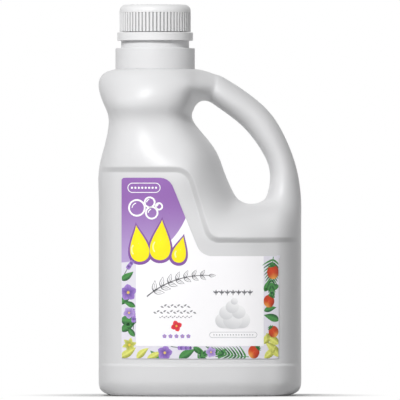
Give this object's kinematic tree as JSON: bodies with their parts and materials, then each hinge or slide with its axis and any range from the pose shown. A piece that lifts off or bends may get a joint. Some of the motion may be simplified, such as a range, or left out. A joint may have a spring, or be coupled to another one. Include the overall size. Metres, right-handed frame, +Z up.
{
  "type": "hand soap refill bottle",
  "caption": "Upright plastic refill bottle with an integral side handle, a ribbed screw cap and a front label film.",
  "frame": {"origin": "on the surface that the bottle stands on, under the middle of its bounding box", "axes": "+Z up, the label faces -Y, the handle is on the +X side"},
  "size_m": [0.1404, 0.1026, 0.27],
  "materials": {
    "bottle_white": "satin moulded polyethylene",
    "cap_white": "smooth moulded polypropylene",
    "liner_grey": "matt foamed plastic",
    "label_print": "printed gloss film",
    "soap_clear": "clear liquid"
  },
  "bodies": {
    "bottle": {"bottle": "bottle_white", "tamper_band": "cap_white", "front_label": "label_print", "soap_fill": "soap_clear"},
    "liner": {"cap_liner": "liner_grey"},
    "cap": {"screw_cap": "cap_white"}
  },
  "joints": [
    {"name": "cap_lift", "type": "slide", "parent": "bottle", "child": "liner", "axis": [0, 0, 1], "range_m": [0, 0.018]},
    {"name": "cap_turn", "type": "hinge", "parent": "liner", "child": "cap", "pos_m": [-0.031, 0, 0.26], "axis": [0, 0, 1], "range_deg": [0, 1080]}
  ],
  "couplings": [
    {"joint": "cap_lift", "follows": "cap_turn", "m_per_rad": 0.00095493}
  ]
}
